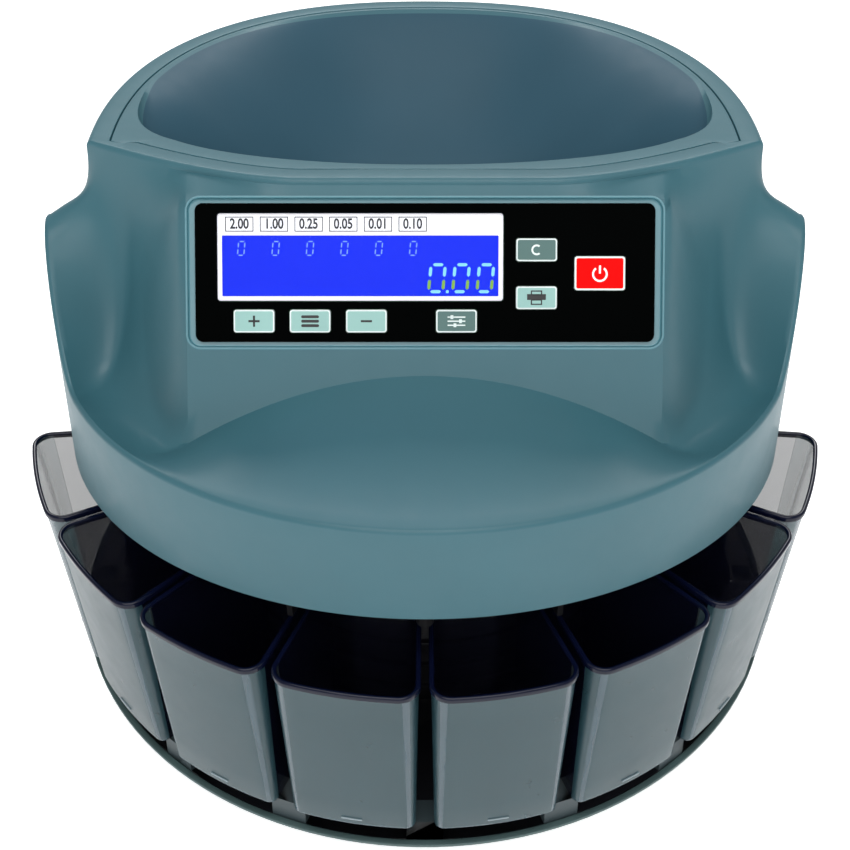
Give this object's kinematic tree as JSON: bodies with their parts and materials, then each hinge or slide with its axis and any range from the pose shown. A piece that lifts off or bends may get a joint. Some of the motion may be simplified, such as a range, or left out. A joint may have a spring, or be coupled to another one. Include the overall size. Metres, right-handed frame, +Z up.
{
  "type": "coin sorting machine",
  "caption": "Countertop coin sorter: hopper bowl above a round sorting unit with a slanted keypad and display, over pull-out coin cups on a round base tray.",
  "frame": {"origin": "centre of the overall footprint, on the surface the feet stand on", "axes": "+Z up, -Y to the front (control panel), +X to the right seen from the front"},
  "size_m": [0.3532, 0.336, 0.2561],
  "materials": {
    "housing": "satin moulded",
    "smoke_plastic": "smoky translucent moulded, glossy rims",
    "black_plastic": "satin moulded",
    "rubber": "matte",
    "belt_rubber": "matte",
    "pad_rubber": "matte",
    "steel": "zinc plated",
    "aluminium": "machined",
    "motor_metal": "plated",
    "board": "solder mask",
    "ribbon": "flat ribbon",
    "panel_black": "printed overlay",
    "lcd_white": "printed frame",
    "lens": "clear",
    "key_light": "satin",
    "key_dark": "satin",
    "key_red": "satin",
    "switch_red": "gloss"
  },
  "bodies": {
    "root": {"base_tray": "housing", "cup_platform": "black_plastic", "rubber_feet": "rubber", "base_screws": "steel", "inner_column": "black_plastic", "rear_housing": "housing", "rear_panel": "black_plastic", "power_inlet": "black_plastic", "switch_frame": "black_plastic", "printer_port": "steel", "drive_plate": "steel", "bearing_housing": "aluminium", "spindle_bearings": "steel", "motor": "motor_metal", "drive_belt": "belt_rubber", "coin_chutes": "black_plastic", "sorting_deck": "steel", "coin_sensors": "black_plastic", "deck_screws": "steel", "hopper_bowl": "housing", "upper_housing": "housing", "housing_screws": "steel", "control_panel": "panel_black", "lcd_module": "lcd_white", "display_lens": "lens", "key_board": "board", "ribbon_cable": "ribbon", "main_board": "board", "transformer": "motor_metal"},
    "rotor": {"spindle": "steel", "spindle_pulley": "black_plastic", "sorter_rotor": "aluminium", "rotor_pads": "pad_rubber", "feed_disc": "aluminium", "disc_nut": "black_plastic"},
    "motor_rotor": {"motor_shaft": "steel", "motor_pulley": "black_plastic"},
    "rocker": {"power_switch": "switch_red"},
    "cup_1": {"coin_cup_1": "smoke_plastic"},
    "cup_2": {"coin_cup_2": "smoke_plastic"},
    "cup_3": {"coin_cup_3": "smoke_plastic"},
    "cup_4": {"coin_cup_4": "smoke_plastic"},
    "cup_5": {"coin_cup_5": "smoke_plastic"},
    "cup_6": {"coin_cup_6": "smoke_plastic"},
    "cup_7": {"coin_cup_7": "smoke_plastic"},
    "cup_8": {"coin_cup_8": "smoke_plastic"},
    "plus_key": {"key_plus": "key_light"},
    "batch_key": {"key_batch": "key_light"},
    "minus_key": {"key_minus": "key_light"},
    "set_key": {"key_set": "key_dark"},
    "clear_key": {"key_clear": "key_dark"},
    "print_key": {"key_print": "key_light"},
    "power_key": {"key_power": "key_red"}
  },
  "joints": [
    {"name": "cup_1_slide", "type": "slide", "parent": "root", "child": "cup_1", "axis": [-0.9622, -0.2723, 0], "range_m": [0, 0.085]},
    {"name": "cup_2_slide", "type": "slide", "parent": "root", "child": "cup_2", "axis": [-0.7986, -0.6018, 0], "range_m": [0, 0.085]},
    {"name": "cup_3_slide", "type": "slide", "parent": "root", "child": "cup_3", "axis": [-0.527, -0.8499, 0], "range_m": [0, 0.085]},
    {"name": "cup_4_slide", "type": "slide", "parent": "root", "child": "cup_4", "axis": [-0.184, -0.9829, 0], "range_m": [0, 0.085]},
    {"name": "cup_5_slide", "type": "slide", "parent": "root", "child": "cup_5", "axis": [0.184, -0.9829, 0], "range_m": [0, 0.085]},
    {"name": "cup_6_slide", "type": "slide", "parent": "root", "child": "cup_6", "axis": [0.527, -0.8499, 0], "range_m": [0, 0.085]},
    {"name": "cup_7_slide", "type": "slide", "parent": "root", "child": "cup_7", "axis": [0.7986, -0.6018, 0], "range_m": [0, 0.085]},
    {"name": "cup_8_slide", "type": "slide", "parent": "root", "child": "cup_8", "axis": [0.9622, -0.2723, 0], "range_m": [0, 0.085]},
    {"name": "plus_press", "type": "slide", "parent": "root", "child": "plus_key", "axis": [0, 0.8192, -0.5736], "range_m": [0, 0.0008], "stiffness_N_per_m": 800},
    {"name": "batch_press", "type": "slide", "parent": "root", "child": "batch_key", "axis": [0, 0.8192, -0.5736], "range_m": [0, 0.0008], "stiffness_N_per_m": 800},
    {"name": "minus_press", "type": "slide", "parent": "root", "child": "minus_key", "axis": [0, 0.8192, -0.5736], "range_m": [0, 0.0008], "stiffness_N_per_m": 800},
    {"name": "set_press", "type": "slide", "parent": "root", "child": "set_key", "axis": [0, 0.8192, -0.5736], "range_m": [0, 0.0008], "stiffness_N_per_m": 800},
    {"name": "clear_press", "type": "slide", "parent": "root", "child": "clear_key", "axis": [0, 0.8192, -0.5736], "range_m": [0, 0.0008], "stiffness_N_per_m": 800},
    {"name": "print_press", "type": "slide", "parent": "root", "child": "print_key", "axis": [0, 0.8192, -0.5736], "range_m": [0, 0.0008], "stiffness_N_per_m": 800},
    {"name": "power_press", "type": "slide", "parent": "root", "child": "power_key", "axis": [0, 0.8192, -0.5736], "range_m": [0, 0.0008], "stiffness_N_per_m": 800},
    {"name": "rotor_spin", "type": "hinge", "parent": "root", "child": "rotor", "pos_m": [0, 0.0095, 0.14], "axis": [0, 0, 1], "continuous": true},
    {"name": "motor_spin", "type": "hinge", "parent": "root", "child": "motor_rotor", "pos_m": [0, 0.0645, 0.1], "axis": [0, 0, 1], "continuous": true},
    {"name": "rocker_tilt", "type": "hinge", "parent": "root", "child": "rocker", "pos_m": [0.008, 0.1455, 0.056], "axis": [1, 0, 0], "range_deg": [0, 20]}
  ],
  "couplings": [
    {"joint": "motor_spin", "follows": "rotor_spin", "ratio": 3}
  ]
}
